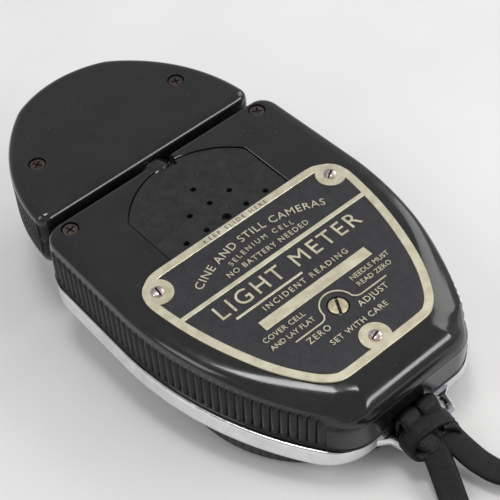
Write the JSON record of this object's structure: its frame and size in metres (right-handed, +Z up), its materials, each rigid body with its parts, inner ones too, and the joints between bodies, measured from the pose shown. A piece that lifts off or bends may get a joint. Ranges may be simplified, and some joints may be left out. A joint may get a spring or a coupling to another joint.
{
  "type": "selenium light meter",
  "caption": "Hand-held light meter: case with a round dial, needle and perforated slide, a swivelling head with a white dome, and a wrist lace.",
  "frame": {"origin": "middle of the meter's footprint on the table it lies on, lace left out", "axes": "+Z up off the table, +Y along the meter's length towards the light head, +X across it"},
  "size_m": [0.08, 0.2281, 0.033],
  "materials": {
    "bakelite": "semi-gloss moulded black",
    "chrome": "bright plated",
    "plate": "pale gold relief on a black field",
    "nickel_screw": "polished, slotted",
    "dark_screw": "blackened",
    "slide": "matt black",
    "brass": "turned",
    "steel": "ground",
    "opal": "white translucent",
    "selenium": "dark grey-blue coated",
    "fibre": "brown fibre board",
    "copper": "enamelled wire",
    "needle_red": "red lacquer",
    "scale": "cream printed",
    "crystal": "clear",
    "dial_black": "satin black",
    "dial_face": "satin anodised",
    "wire": "red sleeving",
    "lace": "flat woven"
  },
  "bodies": {
    "case": {"rear_case": "bakelite", "front_bezel": "chrome", "strap_lug": "chrome", "nameplate": "plate", "nameplate_screws": "nickel_screw", "case_screws": "dark_screw", "swivel_collar": "bakelite", "magnet": "steel", "pole_shoes": "steel", "core": "steel", "core_bracket": "brass", "hairsprings": "brass", "front_bridge": "brass", "rear_bridge": "brass", "jewel_screws": "brass", "calibration_resistor": "fibre", "case_leads": "wire", "scale_plate": "scale", "scale_screws": "nickel_screw", "crystal": "crystal", "dial_base": "dial_black", "dial_hub": "nickel_screw", "dial_washer": "steel", "lug_wrap": "lace", "lug_knot": "lace", "lace_strand_a": "lace", "lace_strand_b": "lace", "lace_coil_a": "lace", "lace_coil_b": "lace", "lace_end_knot_a": "lace", "lace_end_knot_b": "lace"},
    "head": {"swivel_shaft": "brass", "shaft_clip": "steel", "head_back_shell": "bakelite", "head_front_shell": "bakelite", "head_screws": "dark_screw", "selenium_cell": "selenium", "cell_contact_ring": "brass", "cell_backing": "fibre", "head_leads": "wire"},
    "dome": {"diffuser_dome": "opal", "dome_ring": "chrome"},
    "movement": {"moving_coil": "copper", "pivot_staffs": "steel", "needle": "needle_red"},
    "zero_screw": {"zero_adjust_screw": "brass"},
    "zero_fork": {"zero_lever": "brass"},
    "slide": {"perforated_slide": "slide"},
    "ring": {"dial_ring": "dial_black"},
    "disc": {"exposure_disc": "dial_face"}
  },
  "joints": [
    {"name": "head_swivel", "type": "hinge", "parent": "case", "child": "head", "pos_m": [0, 0.02646, 0.02216], "axis": [0, 0.9957, 0.0922], "range_deg": [-90, 180]},
    {"name": "dome_twist", "type": "hinge", "parent": "head", "child": "dome", "pos_m": [0, 0.04675, 0.0145], "axis": [0, -0.0922, 0.9957], "range_deg": [0, 25]},
    {"name": "needle_swing", "type": "hinge", "parent": "case", "child": "movement", "pos_m": [0, -0.02522, 0.01085], "axis": [0, -0.0922, 0.9957], "range_deg": [0, 44], "stiffness_Nm_per_rad": 0.00002},
    {"name": "zero_turn", "type": "hinge", "parent": "case", "child": "zero_screw", "pos_m": [0, -0.03587, 0.02392], "axis": [0, -0.0922, 0.9957], "range_deg": [-40, 40]},
    {"name": "zero_fork_swing", "type": "hinge", "parent": "case", "child": "zero_fork", "pos_m": [0, -0.02623, 0.02181], "axis": [0, -0.0922, 0.9957], "range_deg": [-5, 5]},
    {"name": "slide_tilt", "type": "hinge", "parent": "case", "child": "slide", "pos_m": [0, -0.00233, 0.02723], "axis": [1, 0, 0], "range_deg": [0, 6]},
    {"name": "dial_ring_turn", "type": "hinge", "parent": "case", "child": "ring", "pos_m": [0, -0.02467, 0.00488], "axis": [0, -0.0922, 0.9957], "continuous": true},
    {"name": "exposure_disc_turn", "type": "hinge", "parent": "case", "child": "disc", "pos_m": [0, -0.02467, 0.00488], "axis": [0, -0.0922, 0.9957], "continuous": true}
  ],
  "couplings": [
    {"joint": "zero_fork_swing", "follows": "zero_turn", "ratio": -0.1059}
  ]
}
